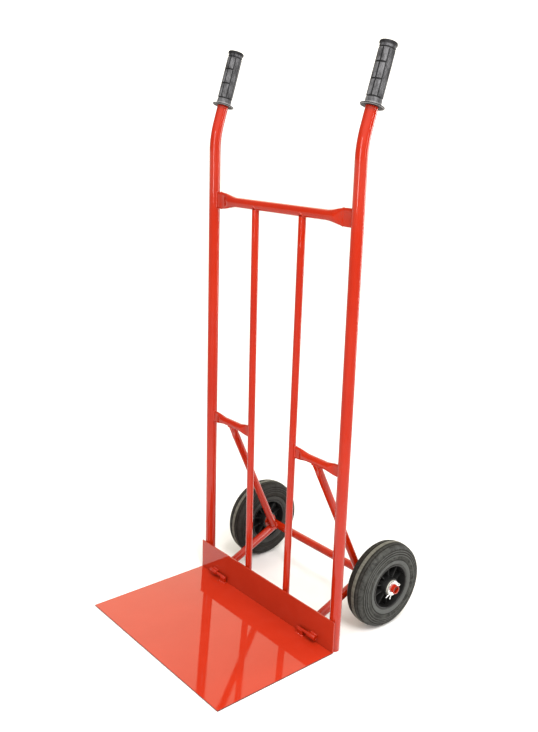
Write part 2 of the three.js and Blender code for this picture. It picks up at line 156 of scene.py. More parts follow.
def enclosed_volume(vertices, faces):
    total = 0.0
    for face in faces:
        for k in range(1, len(face) - 1):
            a, b, c = (vertices[face[i]] for i in (0, k, k + 1))
            total += float(np.dot(a, np.cross(b, c)))
    return total / 6


def around(count):
    """Evenly spaced angles, once round."""
    return np.arange(count) * TURN / count


def revolve(name, outline, side_count, centre, sharp_degrees=CRISP):
    """Turns a closed outline of (x, radius) about a line along X through centre."""
    angles = around(side_count)
    rings = []
    for along, radius in outline:
        ring = np.zeros((side_count, 3))
        ring[:, 0] = along
        ring[:, 1] = radius * np.cos(angles)
        ring[:, 2] = radius * np.sin(angles)
        rings.append(ring + np.array(centre))
    return loft(name, rings, True, sharp_degrees)


def smoothstep(low, high, value):
    """0 below low, 1 above high, and a smooth rise between."""
    share = np.clip((value - low) / (high - low), 0, 1)
    return share * share * (3 - 2 * share)


def rounded_wall(length, wall, edge, stations):
    """(distance, inset) pairs round a tube's wall: out along the outside and back inside."""
    inner_edge = min(edge, wall * 0.4)
    outside = [(edge * 0.3, edge * 0.3), (edge, 0)]
    outside += [(s, 0) for s in stations if edge < s < length - edge]
    outside += [(length - edge, 0), (length - edge * 0.3, edge * 0.3)]
    rim_end = [(length, edge), (length, wall - inner_edge), (length - inner_edge, wall)]
    inside = [(s, wall) for s in reversed(stations) if edge < s < length - edge]
    rim_start = [(inner_edge, wall), (0, wall - inner_edge), (0, edge)]
    return outside + rim_end + inside + rim_start


def round_section(radius):
    def section(distance, inset, angles):
        return (radius - inset) * np.cos(angles), (radius - inset) * np.sin(angles)

    return section


def pressed_section(radius, ends):
    """A round tube whose ends are pressed flat, leaving a shallow trough between two thick edges.

    ends lists (where, reach, breadth, thickness) and, where the press left a crease round the
    tube, how far it is from the end. The breadth is along the section's first axis.
    """
    crease_height, crease_width, trough = 1.1 * MM, 1.5 * MM, 0.34
    full_breadth, flat, round_again = 0.22, 0.3, 0.68  # shares of the reach, from the end

    def section(distance, inset, angles):
        half_a, half_b, square, proud = radius, radius, 0.0, 0.0
        for where, reach, breadth, thickness, *crease in ends:
            gap = abs(distance - where)
            spread = 1 - smoothstep(full_breadth, 1.0, gap / reach)
            pressed = 1 - smoothstep(flat, round_again, gap / reach)
            half_a += spread * (breadth / 2 - radius)
            half_b += pressed * (thickness / 2 - radius)
            square = max(square, float(pressed))
            for at in crease:
                proud += crease_height * math.exp(-(((gap - at) / crease_width) ** 2))
        c = np.cos(angles)
        s = np.sin(angles)
        a = c * (half_a + proud - inset)
        b = np.sign(s) * np.abs(s) ** (1 - 0.5 * square) * (half_b + proud - inset)
        b *= 1 - trough * square * s**4
        return a, b

    return section


def section_points(line, section, distance, angles):
    """Points on a swept tube's outside, at a distance along it."""
    a, b = section(distance, 0, angles)
    point, first, second = line[0](distance)
    return [point + first * float(u) + second * float(v) for u, v in zip(a, b)]


def sweep(name, place, outline, section, side_count):
    """A tube wall: outline's (distance, inset) pairs, each a ring of section at place(distance)."""
    angles = around(side_count)
    rings = []
    for distance, inset in outline:
        point, first, second = (np.array(v, float) for v in place(distance))
        a, b = section(distance, inset, angles)
        rings.append(point + np.outer(a, first) + np.outer(b, second))
    return loft(name, rings, True)


def straight_line(start, end):
    """place() for a straight run and its length. The first axis is as near to +X as it can be."""
    start, end = Vector(start), Vector(end)
    along = (end - start).normalized()
    second = along.cross(Vector((1, 0, 0)))
    if second.length < 0.1:
        second = Vector((0, 1, 0))
    second.normalize()
    first = second.cross(along)

    def place(distance):
        return start + along * distance, first, second

    return place, (end - start).length


def even_stations(length, count):
    return [length * i / count for i in range(1, count)]


def pressed_stations(length, reaches, count):
    """Stations that are closely spaced over each pressed end and sparse between them."""
    stations = set(even_stations(length, 10))
    for at_start, reach in reaches:
        for i in range(1, count + 1):
            s = reach * i / count
            stations.add(s if at_start else length - s)
    return sorted(stations)


def bevelled_box(name, low, high, edge):
    """A sheet-metal plate with rounded edges."""
    low, high = np.array(low), np.array(high)
    plain = bpy.data.meshes.new(name)
    corners = [
        (x, y, z)
        for x in (low[0], high[0])
        for y in (low[1], high[1])
        for z in (low[2], high[2])
    ]
    quads = [(0, 1, 3, 2), (4, 6, 7, 5), (0, 4, 5, 1), (2, 3, 7, 6), (0, 2, 6, 4), (1, 5, 7, 3)]
    plain.from_pydata(corners, [], quads)
    piece = add_object(name, plain)
    bevel = piece.modifiers.new("edges", "BEVEL")
    bevel.width = edge
    bevel.segments = 4
    bevel.limit_method = "NONE"
    bpy.context.view_layer.update()
    graph = bpy.context.evaluated_depsgraph_get()
    shaped = bpy.data.meshes.new_from_object(piece.evaluated_get(graph))
    piece.modifiers.clear()
    piece.data = shaped
    shaped.shade_flat()
    return piece


def lean_shading(piece, facing, lean):
    """Shade the faces that look along facing as if they leaned: a sheet is never quite flat."""
    mesh = piece.data
    normals = []
    for face in mesh.polygons:
        normal = face.normal.copy()
        if normal.dot(facing) > 0.99:
            normal = (normal + lean).normalized()
        normals += [normal] * face.loop_total
    mesh.normals_split_custom_set(normals)


# ---------- weld beads ----------

SEAM_POINTS, RING_POINTS = 40, 36  # round a tube, where its bead is found or follows one ring


def bead(name, points, width, closed, seed):
    """A weld bead along points, with the ripples that the puddle leaves, half sunk in the joint."""
    ripple, ripple_height, station, sides = 4.2 * MM, 0.13, 0.7 * MM, 12
    points = np.array(points, float)
    if closed:
        points = np.vstack([points, points[:1]])
    steps = np.linalg.norm(np.diff(points, axis=0), axis=1)
    at = np.concatenate([[0], np.cumsum(steps)])
    total = at[-1]
    count = max(16, int(total / station))
    where = np.linspace(0, total, count, endpoint=not closed)
    line = np.stack([np.interp(where, at, points[:, k]) for k in range(3)], axis=1)
    if closed:
        tangent = np.roll(line, -1, axis=0) - np.roll(line, 1, axis=0)
    else:
        tangent = np.gradient(line, axis=0)
    tangent /= np.linalg.norm(tangent, axis=1)[:, None]
    random = np.random.default_rng(seed)
    phase = random.uniform(0, TURN)
    waves = [
        (random.uniform(0.8, 1.5), random.uniform(0, TURN), random.uniform(0.03, 0.09))
        for _ in range(4)
    ]
    angles = around(sides)
    askew = np.array([0.31, 0.52, 0.79])  # no bead runs along this direction
    rings = []
    for i in range(count):
        first = np.cross(tangent[i], askew)
        first /= np.linalg.norm(first)
        second = np.cross(tangent[i], first)
        swell = 1 + ripple_height * math.sin(TURN * where[i] / ripple + phase)
        for speed, offset, amount in waves:
            swell += amount * math.sin(TURN * speed * where[i] / (7 * ripple) * 3 + offset)
        if not closed:
            swell *= math.sqrt(max(0.04, min(1, where[i] / width, (total - where[i]) / width)))
        circle = np.outer(np.cos(angles), first) + np.outer(np.sin(angles), second)
        rings.append(line[i] + width / 2 * swell * circle)
    return loft(name, rings, closed, 60)


def seam(line, section, near_start, is_inside):
    """Where a tube's surface enters another piece near one of its ends: a closed line of points."""
    length = line[1]
    points = []
    halvings = 30
    for angle in around(SEAM_POINTS):
        low, high = (0.0, length / 2) if near_start else (length / 2, length)
        for _ in range(halvings):
            tried = (low + high) / 2
            spot = section_points(line, section, tried, np.array([angle]))[0]
            if is_inside(spot) == near_start:
                low = tried
            else:
                high = tried
        points.append(spot)
    return points


def in_rail(side):
    """A test of whether a point is inside the rail on that side."""

    def is_inside(spot):
        return (spot.x - side * RAIL_X) ** 2 + (spot.y - RAIL_Y) ** 2 < RAIL_RADIUS**2

    return is_inside


def in_rod(y, z, radius):
    """A test of whether a point is inside a rod along X."""

    def is_inside(spot):
        return (spot.y - y) ** 2 + (spot.z - z) ** 2 < radius**2

    return is_inside


# ---------- materials ----------


class Nodes:
    """Shorthand for building the node tree of a material or of the world."""

    def __init__(self, owner, coordinates="Object"):
        owner.use_nodes = True
        self.owner = owner
        self.tree = owner.node_tree
        self.coordinates = self.tree.nodes.new("ShaderNodeTexCoord").outputs[coordinates]

    def put(self, kind, inputs=None, **settings):
        node = self.tree.nodes.new(kind)
        for key, value in settings.items():
            setattr(node, key, value)
        for key, value in (inputs or {}).items():
            self.join(value, node.inputs[key])
        return node

    def join(self, value, socket):
        if isinstance(value, bpy.types.NodeSocket):
            self.tree.links.new(value, socket)
        else:
            socket.default_value = value

    def noise(self, scale, detail=4.0, roughness=0.55, vector=None, distortion=0.0):
        values = {
            "Vector": vector or self.coordinates,
            "Scale": scale,
            "Detail": detail,
            "Roughness": roughness,
            "Distortion": distortion,
        }
        return self.put("ShaderNodeTexNoise", values).outputs["Fac"]

    def stretched(self, scale):
        values = {"Vector": self.coordinates, "Scale": scale}
        return self.put("ShaderNodeMapping", values).outputs["Vector"]

    def attribute(self, name):
        return self.put("ShaderNodeAttribute", attribute_name=name).outputs["Fac"]

    def ramp(self, value, low, high, from_value=0.0, to_value=1.0):
        values = {
            "Value": value,
            "From Min": low,
            "From Max": high,
            "To Min": from_value,
            "To Max": to_value,
        }
        return self.put("ShaderNodeMapRange", values, clamp=True).outputs["Result"]

    def maths(self, operation, first, second=0.0):
        return self.put("ShaderNodeMath", {0: first, 1: second}, operation=operation).outputs[0]

    def vector_maths(self, operation, values, output=0):
        return self.put("ShaderNodeVectorMath", values, operation=operation).outputs[output]

    def mix(self, share, first, second):
        node = self.put("ShaderNodeMix", data_type="RGBA")
        self.join(share, node.inputs[0])
        self.join(first, node.inputs[6])
        self.join(second, node.inputs[7])
        return node.outputs[2]

    def bump(self, height, strength, distance, normal=None):
        values = {"Height": height, "Strength": strength, "Distance": distance}
        if normal is not None:
            values["Normal"] = normal
        return self.put("ShaderNodeBump", values).outputs["Normal"]

    def finish(self, **inputs):
        """Feeds the shader's inputs, and gives the material."""
        shader = self.tree.nodes["Principled BSDF"]
        for key, value in inputs.items():
            self.join(value, shader.inputs[key.replace("_", " ")])
        return self.owner


def material_nodes(name):
    return Nodes(bpy.data.materials.new(name))


def colour(red, green, blue):
    return (red, green, blue, 1.0)


def red_paint(name, dark, light, specular, smoothest, glossy_ends=False):
    """Gloss enamel over steel: faint orange peel, slight colour drift, dust and fine scuffs.

    With glossy_ends it keeps more gloss near the floor and at the handles, where no load rubs.
    """
    n = material_nodes(name)
    drift = n.ramp(n.noise(6.0, 3.0), 0.35, 0.65)
    base = n.mix(drift, dark, light)
    scuffs = n.ramp(n.noise(60.0, 6.0, 0.7, n.stretched((1.0, 1.0, 0.12))), 0.63, 0.72)
    scuffed = n.mix(n.maths("MULTIPLY", scuffs, 0.2), base, colour(0.30, 0.025, 0.012))
    dust = n.ramp(n.noise(25.0, 5.0, 0.65), 0.5, 0.8, 0.0, 0.015)
    dusty = n.mix(dust, scuffed, colour(0.32, 0.24, 0.20))
    # Painted shade on the toe plate's side faces: a thin dark line along its edges.
    edge_shaded = n.mix(n.attribute("painted_edge_shade"), dusty, colour(0.05, 0.005, 0.003))
    roughness = n.ramp(n.noise(18.0, 4.0), 0.3, 0.75, smoothest, smoothest + 0.06)
    rougher = n.maths("ADD", roughness, n.maths("MULTIPLY", scuffs, 0.06))
    peel = n.bump(n.noise(420.0, 2.0), 0.06, 0.2 * MM)
    waves = n.bump(n.noise(16.0, 2.0), 0.03, 1.2 * MM, peel)
    if glossy_ends:
        height = n.put("ShaderNodeSeparateXYZ", {0: n.coordinates}).outputs["Z"]
        near_floor = n.ramp(height, 0.22, 0.50, 0.6, 0.0)
        at_handles = n.ramp(height, 0.90, 0.98, 0.0, 0.4)
        n.finish(Coat_Weight=n.maths("ADD", near_floor, at_handles), Coat_Roughness=0.03)
    n.finish(IOR=1.5, Specular_IOR_Level=specular)
    return n.finish(Base_Color=edge_shaded, Roughness=rougher, Normal=waves)


def weld_paint():
    """The same enamel over a weld bead, painted a little lighter than the tubes': a painted
    highlight on the proud bead.
    """
    n = material_nodes("weld_paint")
    drift = n.ramp(n.noise(220.0, 3.0), 0.35, 0.65)
    base = n.mix(drift, colour(0.33, 0.011, 0.001), colour(0.40, 0.018, 0.003))
    roughness = n.ramp(n.noise(140.0, 4.0), 0.3, 0.75, 0.12, 0.28)
    lumps = n.bump(n.noise(380.0, 4.0, 0.6), 0.5, 0.5 * MM)
    return n.finish(Base_Color=base, Roughness=roughness, Normal=lumps, IOR=1.5)


def zinc_plate():
    """Bright, slightly yellow zinc with faint turning marks, painted dark where the mesh marks
    painted shade in the axle's bore.
    """
    n = material_nodes("zinc_plate")
    patches = n.ramp(n.noise(90.0, 4.0), 0.35, 0.7)
    base = n.mix(patches, colour(0.72, 0.73, 0.74), colour(0.86, 0.86, 0.84))
    yellow = n.ramp(n.noise(45.0, 3.0), 0.55, 0.75, 0.0, 0.25)
    stained = n.mix(yellow, base, colour(0.62, 0.55, 0.36))
    roughness = n.ramp(n.noise(200.0, 4.0), 0.3, 0.7, 0.2, 0.42)
    marks = n.bump(n.noise(600.0, 3.0, 0.6, n.stretched((1.0, 0.25, 0.25))), 0.25, 0.1 * MM)
    # Painted shade on the wire inside the axle's bore.
    bore_shaded = n.mix(n.attribute("painted_bore_shade"), stained, colour(0.035, 0.006, 0.004))
    metallic = n.ramp(n.attribute("painted_bore_shade"), 0.0, 1.0, 0.85, 0.0)
    return n.finish(Base_Color=bore_shaded, Roughness=roughness, Normal=marks, Metallic=metallic)


def tyre_rubber():
    """Grey-black rubber with dust and grit on it.

    The mesh's weights mark a painted highlight along the raised rib at the crown, painted shade
    in the recesses and over the inner half, and paler rubber at the seat with a painted highlight
    on the sidewall rings' edges and the shoulders.
    """
    n = material_nodes("tyre_rubber")
    mottle = n.ramp(n.noise(60.0, 8.0, 0.78, distortion=0.8), 0.42, 0.60)
    base = n.mix(mottle, colour(0.007, 0.007, 0.006), colour(0.043, 0.044, 0.040))
    patchy = n.ramp(n.noise(70.0, 5.0), 0.2, 0.7, 0.6, 1.0)
    # A painted highlight along the crown rib, broken by marks round the tyre.
    crown_highlight_share = n.maths("MULTIPLY", n.attribute("crown_highlight"), patchy)
    crown_lit = n.mix(crown_highlight_share, base, colour(0.16, 0.157, 0.13))
    patchy = n.ramp(n.noise(50.0, 5.0), 0.25, 0.7, 0.65, 1.0)
    # Painted shade in the recesses and over the inner half.
    tyre_shade_share = n.maths("MULTIPLY", n.attribute("tyre_shade"), patchy)
    tyre_shaded = n.mix(tyre_shade_share, crown_lit, colour(0.009, 0.007, 0.005))
    # Paler rubber at the seat, and a painted highlight on the sidewall rings' edges and the
    # shoulders.
    bead_share = n.maths("MULTIPLY", n.attribute("bead"), 0.8)
    beaded = n.mix(bead_share, tyre_shaded, colour(0.082, 0.085, 0.083))
    grit = n.ramp(n.noise(260.0, 5.0, 0.75), 0.54, 0.72, 0.0, 0.45)
    grit = n.maths("MULTIPLY", grit, n.ramp(n.attribute("tyre_shade"), 0.0, 1.0, 1.0, 0.35))
    gritty = n.mix(grit, beaded, colour(0.095, 0.088, 0.073))
    roughness = n.ramp(n.noise(120.0, 4.0), 0.3, 0.7, 0.5, 0.78)
    fine = n.bump(n.noise(900.0, 4.0, 0.6), 0.35, 0.15 * MM)
    coarse = n.bump(n.noise(140.0, 4.0), 0.25, 0.5 * MM, fine)
    return n.finish(Base_Color=gritty, Roughness=roughness, Normal=coarse, Specular_IOR_Level=0.15)


def black_plastic():
    """Moulded black plastic: fine grain, slight dust on the ribs."""
    n = material_nodes("black_plastic")
    drift = n.ramp(n.noise(30.0, 4.0), 0.3, 0.7)
    base = n.mix(drift, colour(0.004, 0.004, 0.004), colour(0.010, 0.010, 0.010))
    dust = n.ramp(n.noise(160.0, 5.0, 0.7), 0.6, 0.85, 0.0, 0.2)
    dusty = n.mix(dust, base, colour(0.05, 0.048, 0.042))
    roughness = n.ramp(n.noise(90.0, 4.0), 0.3, 0.7, 0.26, 0.45)
    grain = n.bump(n.noise(1100.0, 3.0), 0.3, 0.1 * MM)
    return n.finish(Base_Color=dusty, Roughness=roughness, Normal=grain, Specular_IOR_Level=0.3)


def grip_rubber():
    """Grey-black grip rubber: matt, with painted shade and painted highlight where the mesh marks
    them, and a little lighter where hands have rubbed the panels.
    """
    n = material_nodes("grip_rubber")
    mottle = n.ramp(n.noise(110.0, 7.0, 0.8, n.stretched((1.0, 0.8, 0.3))), 0.42, 0.60)
    base = n.mix(mottle, colour(0.007, 0.007, 0.009), colour(0.108, 0.108, 0.117))
    # Painted shade: near black in the channels between the panels and the ridges, round the lip, in
    # the dished end and on the flange's top and inner underside.
    groove_shade = n.mix(n.attribute("groove_shade"), base, colour(0.002, 0.002, 0.003))
    # Lighter where hands rub the panels, and a painted highlight on the collar, the flange's outer
    # underside, the lip's top and the plain stretch below the panels.
    wear_and_highlight = n.mix(n.maths("MULTIPLY", n.attribute("wear_and_highlight"), 0.6), groove_shade, colour(0.27, 0.27, 0.28))
    roughness = n.ramp(n.noise(150.0, 4.0), 0.3, 0.7, 0.42, 0.66)
    fine = n.bump(n.noise(1000.0, 4.0, 0.65), 0.5, 0.15 * MM)
    return n.finish(Base_Color=wear_and_highlight, Roughness=roughness, Normal=fine, Specular_IOR_Level=0.2)


def nylon():
    """Natural nylon with a faint moulding mottle, painted near black where the mesh marks painted
    shade.
    """
    n = material_nodes("nylon")
    mottle = n.ramp(n.noise(120.0, 4.0), 0.3, 0.7)
    base = n.mix(mottle, colour(0.42, 0.41, 0.35), colour(0.50, 0.49, 0.43))
    roughness = n.ramp(n.noise(200.0, 3.0), 0.3, 0.7, 0.4, 0.6)
    grain = n.bump(n.noise(900.0, 3.0), 0.2, 0.1 * MM)
    inner_shaded = n.mix(n.attribute("painted_inner_shade"), base, colour(0.020, 0.010, 0.007))
    return n.finish(Base_Color=inner_shaded, Roughness=roughness, Normal=grain)


PAINT = red_paint(
    "red_paint",
    dark=colour(0.305, 0.0098, 0.0004),
    light=colour(0.34, 0.0135, 0.0010),
    specular=0.18,
    smoothest=0.05,
    glossy_ends=True,
)
# The toe plate's enamel is painted lighter: painted light on the up-facing plate.
LIT_TOE_PAINT = red_paint(
    "red_paint_toe_lit",
    dark=colour(0.385, 0.0215, 0.0065),
    light=colour(0.415, 0.0245, 0.0081),
    specular=0.5,
    smoothest=0.02,
)
# The back plate's enamel is painted darker than the toe plate's: painted shade on the front-facing
# plate.
SHADED_BACK_PAINT = red_paint(
    "red_paint_back_shaded",
    dark=colour(0.315, 0.0195, 0.0060),
    light=colour(0.342, 0.0222, 0.0076),
    specular=0.5,
    smoothest=0.02,
)
WELD = weld_paint()
ZINC = zinc_plate()
TYRE = tyre_rubber()
PLASTIC = black_plastic()
GRIP = grip_rubber()
NYLON = nylon()


def fit_out(piece, material, body, *nodes):
    """Gives a piece its material, its body and the CAD nodes that it stands for."""
    piece.data.materials.clear()
    piece.data.materials.append(material)
    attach(piece, body)
    if nodes:
        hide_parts(*nodes)
    return piece


def weld(name, points, width, seed, closed=False, body="frame"):
    """A painted weld bead along points, riding on body."""
    fit_out(bead(name, points, width, closed, seed), WELD, body)


def weigh(piece, name, weights):
    """Stores a weight per vertex that a material reads by name."""
    layer = piece.data.attributes.new(name, "FLOAT", "POINT")
    layer.data.foreach_set("value", np.asarray(weights, np.float32))


# ---------- rails ----------

HANDLE_DIRECTION = Vector((0, math.sin(HANDLE_ANGLE), math.cos(HANDLE_ANGLE)))
BEND_START = BEND_HEIGHT - BEND_RADIUS * math.tan(HANDLE_ANGLE / 2)
BEND_LENGTH = BEND_RADIUS * HANDLE_ANGLE
RAIL_LENGTH = BEND_START + BEND_LENGTH + HANDLE_LENGTH - BEND_RADIUS * math.tan(HANDLE_ANGLE / 2)


def rail_place(side):
    """place() for a rail: straight up, then bent back into its handle."""

    def place(distance):
        x = side * RAIL_X
        first = Vector((1, 0, 0))
        if distance <= BEND_START:
            return Vector((x, RAIL_Y, distance)), first, Vector((0, 1, 0))
        angle = min((distance - BEND_START) / BEND_RADIUS, HANDLE_ANGLE)
        spot = Vector((x, RAIL_Y, BEND_START))
        spot += BEND_RADIUS * Vector((0, 1 - math.cos(angle), math.sin(angle)))
        past = max(0, distance - BEND_START - BEND_LENGTH)
        return spot + past * HANDLE_DIRECTION, first, Vector((0, math.cos(angle), -math.sin(angle)))

    return place


def make_rail(word, side):
    straight = [BEND_START * i / 12 for i in range(1, 13)]
    bend = [BEND_START + BEND_LENGTH * i / 16 for i in range(1, 17)]
    handle = [BEND_START + BEND_LENGTH + 40 * MM]
    outline = rounded_wall(RAIL_LENGTH, WALL, 0.5 * MM, straight + bend + handle)
    rail = sweep(f"{word}_rail_tube", rail_place(side), outline, round_section(RAIL_RADIUS), 64)
    fit_out(rail, PAINT, "frame", f"{word}_rail")


# ---------- cross tubes, inner bars and struts ----------

# Each pressed end's reach, breadth and thickness.
TOP_END = (75 * MM, 37 * MM, 9 * MM)
TOP_CREASES = (15 * MM, 28 * MM)  # from the left and right ends of the top tube
SHORT_END = (45 * MM, 27 * MM, 9 * MM)
UPPER_STRUT_END = (45 * MM, 22 * MM, 13 * MM)
LOWER_STRUT_END = (45 * MM, 26 * MM, 12 * MM)
SUNK = 11.2 * MM  # from the rail's axis to a cross tube's end, inside the rail's wall


def inner_bar_x(z):
    top_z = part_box("right_inner_bar")[1].z
    share = (z - INNER_BAR_FOOT_Z) / (top_z - INNER_BAR_FOOT_Z)
    return INNER_BAR_FOOT_X + share * (INNER_BAR_TOP_X - INNER_BAR_FOOT_X)


def pressed_tube(name, node, line, radius, presses, count, side_count=40):
    """A painted tube along line with its ends pressed flat, and its section.

    presses lists each pressed end: whether it is the start, its reach, breadth and thickness, and
    where it is creased. Each gets count closely spaced rings.
    """
    place, length = line
    ends = [(0 if at_start else length, *shape) for at_start, *shape in presses]
    section = pressed_section(radius, ends)
    reaches = [(at_start, reach) for at_start, reach, *_ in presses]
    outline = rounded_wall(length, WALL, TUBE_EDGE, pressed_stations(length, reaches, count))
    tube = sweep(name, place, outline, section, side_count)
    fit_out(tube, PAINT, "frame", node)
    return tube, section


def make_top_tube():
    ends = [(side * (RAIL_X - SUNK), RAIL_Y, TOP_TUBE_Z) for side in (-1, 1)]
    line = upright(*straight_line(*ends))
    presses = [(True, *TOP_END, TOP_CREASES[0]), (False, *TOP_END, TOP_CREASES[1])]
    name = "top_cross_tube"
    _, section = pressed_tube(f"{name}_pressed", name, line, TOP_TUBE_RADIUS, presses, 60, 48)
    for word, side in SIDES.items():
        points = seam(line, section, side < 0, in_rail(side))
        weld(f"{word}_top_tube_weld", points, 3.0 * MM, 11 + side, closed=True)


def upright(place, length):
    """The same line with its first axis up, so that a pressed end stands upright."""

    def turned(distance):
        return place(distance)[0], Vector((0, 0, 1)), Vector((0, -1, 0))

    return turned, length


def make_short_tube(word, side):
    bar_x = inner_bar_x(SHORT_TUBE_Z) + INNER_BAR_RADIUS - 2 * MM
    ends = [(side * x, RAIL_Y, SHORT_TUBE_Z) for x in (bar_x, RAIL_X - SUNK)]
    line = upright(*straight_line(*ends))
    presses = [(True, *SHORT_END), (False, *SHORT_END)]
    name, node = f"{word}_short_tube_pressed", f"{word}_short_cross_tube"
    _, section = pressed_tube(name, node, line, SMALL_TUBE_RADIUS, presses, 24)
    points = seam(line, section, False, in_rail(side))
    weld(f"{word}_short_tube_rail_weld", points, 3.4 * MM, 21 + side, closed=True)
    points = section_points(line, section, 3 * MM, around(RING_POINTS))
    weld(f"{word}_short_tube_bar_weld", points, 3.2 * MM, 31 + side, closed=True)


def make_inner_bar(word, side):
    top = Vector((side * INNER_BAR_TOP_X, INNER_BAR_Y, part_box("right_inner_bar")[1].z - 2 * MM))
    foot = Vector((side * INNER_BAR_FOOT_X, INNER_BAR_Y, INNER_BAR_FOOT_Z))
    place, length = straight_line(foot, top)
    outline = rounded_wall(length, WALL, TUBE_EDGE, even_stations(length, 12))
    bar = sweep(f"{word}_inner_bar_tube", place, outline, round_section(INNER_BAR_RADIUS), 40)
    fit_out(bar, PAINT, "frame", f"{word}_inner_bar")
    line = []
    for angle in around(SEAM_POINTS):
        x = top.x + INNER_BAR_RADIUS * math.cos(angle)
        y = INNER_BAR_Y + INNER_BAR_RADIUS * math.sin(angle)
        drop = math.sqrt(max(0, TOP_TUBE_RADIUS**2 - (y - RAIL_Y) ** 2))
        line.append((x, y, TOP_TUBE_Z - drop))
    weld(f"{word}_inner_bar_top_weld", line, 2.2 * MM, 41 + side, closed=True)
    # A bead up each flank, where the bar touches the back plate.
    joint_y = PLATE_FRONT_Y + PLATE_THICKNESS + 1.2 * MM
    joint_low, joint_high = 14 * MM, BACK_TOP_Z - 3 * MM
    for index, flank in enumerate((-5.0 * MM, 5.0 * MM)):
        x_low = side * inner_bar_x(joint_low) + flank
        x_high = side * inner_bar_x(70 * MM) + flank
        points = [(x_low, joint_y, joint_low), (x_high, joint_y, joint_high)]
        weld(f"{word}_inner_bar_foot_weld_{index + 1}", points, 3.4 * MM, 51 + 2 * side + index)


def make_upper_strut(word, side):
    """Its foot is notched round the front of the axle, so its rear half ends higher up."""
    top = Vector((side * UPPER_STRUT_TOP[0], UPPER_STRUT_TOP[1], SHORT_TUBE_Z))
    foot = Vector((side * UPPER_STRUT_FOOT[0], UPPER_STRUT_FOOT[1], AXLE.z))
    along = (foot - top).normalized()
    line = straight_line(top + along * (SMALL_TUBE_RADIUS - 2 * MM), foot)
    name, node = f"{word}_upper_strut_tube", f"{word}_upper_strut"
    presses = [(True, *UPPER_STRUT_END)]
    strut, section = pressed_tube(name, node, line, SMALL_TUBE_RADIUS, presses, 16)
    for vertex in strut.data.vertices:
        vertex.co = off_axle(vertex.co.copy(), along, AXLE_RADIUS - 0.6 * MM)
    points = seam(line, section, True, in_rod(RAIL_Y, SHORT_TUBE_Z, SMALL_TUBE_RADIUS))
    weld(f"{word}_upper_strut_top_weld", points, 3.4 * MM, 61 + side, closed=True)
    points = section_points(line, section, line[1], around(RING_POINTS))
    points = [off_axle(spot, along, AXLE_RADIUS) for spot in points]
    weld(f"{word}_upper_strut_axle_weld", points, 4.4 * MM, 71 + side, closed=True)


def off_axle(spot, along, radius):
    """Slides a point back against along until it is radius away from the axle's middle line."""
    across = Vector((0, spot.y - AXLE.y, spot.z - AXLE.z))
    if across.length >= radius:
        return spot
    step = Vector((0, along.y, along.z))
    a, b, c = step.dot(step), -across.dot(step), across.dot(across) - radius**2
    back = (-b + math.sqrt(b * b - a * c)) / a
    return spot - along * back


def make_lower_strut(word, side):
    """Its foot ends just inside the back plate's rear face."""
    plate_back = PLATE_FRONT_Y + PLATE_THICKNESS
    foot = Vector((side * LOWER_STRUT_FOOT[0], LOWER_STRUT_FOOT[1], LOWER_STRUT_FOOT[2]))
    hub = Vector((side * LOWER_STRUT_AXLE_X, AXLE.y, AXLE.z))
    along = (hub - foot).normalized()
    line = straight_line(foot, hub - along * (AXLE_RADIUS - 2 * MM))
    name, node = f"{word}_lower_strut_tube", f"{word}_lower_strut"
    presses = [(True, *LOWER_STRUT_END)]
    strut, section = pressed_tube(name, node, line, LOWER_STRUT_RADIUS, presses, 16)
    for vertex in strut.data.vertices:
        vertex.co.y = max(vertex.co.y, plate_back - 0.4 * MM)
    ring = section_points(line, section, (plate_back - foot.y) / along.y, around(RING_POINTS))
    points = [Vector((spot.x, plate_back, spot.z)) for spot in ring]
    weld(f"{word}_lower_strut_foot_weld", points, 3.6 * MM, 81 + side, closed=True)
    points = seam(line, section, False, in_rod(AXLE.y, AXLE.z, AXLE_RADIUS))
    weld(f"{word}_lower_strut_axle_weld", points, 3.8 * MM, 91 + side, closed=True)


def make_axle():
    ends = [(side * AXLE_HALF_LENGTH, AXLE.y, AXLE.z) for side in (-1, 1)]
    place, length = upright(*straight_line(*ends))
    outline = rounded_wall(length, AXLE_WALL, 0.6 * MM, even_stations(length, 14))
    tube = sweep("axle_tube_round", place, outline, round_section(AXLE_RADIUS), 56)
    fit_out(tube, PAINT, "frame", "axle_tube")


# ---------- plates and hinges ----------


def make_plates():
    low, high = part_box("back_plate")
    back_sheet = bevelled_box("back_plate_sheet", low, high, SHEET_EDGE)
    fit_out(back_sheet, SHADED_BACK_PAINT, "frame", "back_plate")
    low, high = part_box("toe_plate")
    toe_sheet = bevelled_box("toe_plate_sheet", low, high, SHEET_EDGE)
    lean_shading(toe_sheet, Vector((0, 0, 1)), Vector((0.019, 0.023, 0)))
    # Its side faces are marked for painted shade, a thin dark line along the edges.
    touching = 0.05 * MM
    edge_shade = []
    for vertex in toe_sheet.data.vertices:
        gaps = [min(vertex.co[k] - low[k], high[k] - vertex.co[k]) for k in (0, 1)]
        edge_shade.append(float(min(gaps) < touching))
    weigh(toe_sheet, "painted_edge_shade", edge_shade)
    fit_out(toe_sheet, LIT_TOE_PAINT, "toe_plate", "toe_plate")


def turned_outline(low, high, radius, bore, edge):
    """A sleeve or a rod with rounded ends. bore is its inner radius, nearly 0 for a rod."""
    return [
        (low + 0.3 * MM, bore),
        (low, bore + 0.3 * MM),
        (low, radius - edge),
        (low + edge * 0.3, radius - edge * 0.3),
        (low + edge, radius),
        (high - edge, radius),
        (high - edge * 0.3, radius - edge * 0.3),
        (high, radius - edge),
        (high, bore + 0.3 * MM),
        (high - 0.3 * MM, bore),
    ]


